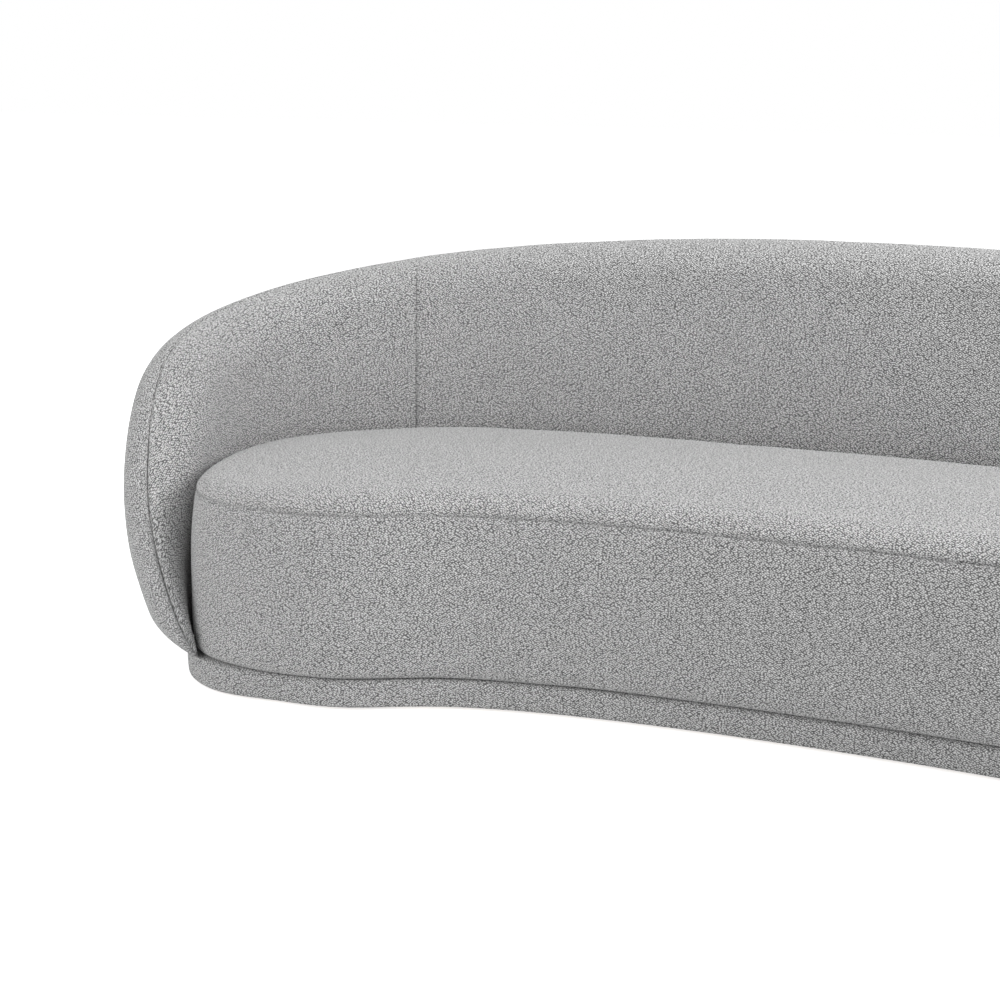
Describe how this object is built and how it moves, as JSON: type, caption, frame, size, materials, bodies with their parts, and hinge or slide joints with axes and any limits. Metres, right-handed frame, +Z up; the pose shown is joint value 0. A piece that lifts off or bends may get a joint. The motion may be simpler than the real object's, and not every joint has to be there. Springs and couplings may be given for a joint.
{
  "type": "curved sofa",
  "caption": "Crescent sofa with a thick padded seat on a low plinth and one curved padded wall that forms back and arms.",
  "frame": {"origin": "on the floor under the middle of the sofa's width and depth", "axes": "+X along the sofa's width, -Y out of its front, +Z up"},
  "size_m": [2.692, 0.8314, 0.775],
  "materials": {
    "boucle": "matte",
    "timber": "matte",
    "foam": "matte",
    "webbing": "matte",
    "lining": "matte",
    "glide": "satin",
    "bolt": "satin"
  },
  "bodies": {
    "root": {"plinth_cover": "boucle", "seat_border_cover": "boucle", "seat_top_cover": "boucle", "back_inner_cover_left": "boucle", "back_inner_cover_middle": "boucle", "back_inner_cover_right": "boucle", "back_outer_cover": "boucle", "plinth_band": "timber", "plinth_joist_1": "timber", "plinth_joist_2": "timber", "plinth_joist_3": "timber", "base_deck": "timber", "seat_front_rail": "timber", "seat_left_rail": "timber", "seat_rear_rail": "timber", "seat_right_rail": "timber", "seat_joist_1": "timber", "seat_joist_2": "timber", "seat_joist_3": "timber", "back_base_rail": "timber", "back_mid_rail": "timber", "back_top_rail": "timber", "back_rib_1": "timber", "back_rib_2": "timber", "back_rib_3": "timber", "back_rib_4": "timber", "back_rib_5": "timber", "back_rib_6": "timber", "back_rib_7": "timber", "back_rib_8": "timber", "back_rib_9": "timber", "back_rib_10": "timber", "back_rib_11": "timber", "seat_foam_core": "foam", "seat_foam_topper": "foam", "seat_side_pad": "foam", "back_inner_foam": "foam", "back_outer_foam": "foam", "webbing_cross_1": "webbing", "webbing_cross_2": "webbing", "webbing_cross_3": "webbing", "webbing_cross_4": "webbing", "webbing_cross_5": "webbing", "webbing_cross_6": "webbing", "webbing_cross_7": "webbing", "webbing_long_1": "webbing", "webbing_long_2": "webbing", "dust_cover": "lining", "glide_1": "glide", "glide_2": "glide", "glide_3": "glide", "glide_4": "glide", "glide_5": "glide", "glide_6": "glide", "glide_7": "glide", "glide_8": "glide", "back_bolt_1": "bolt", "back_bolt_2": "bolt", "back_bolt_3": "bolt", "back_bolt_4": "bolt"}
  },
  "joints": []
}
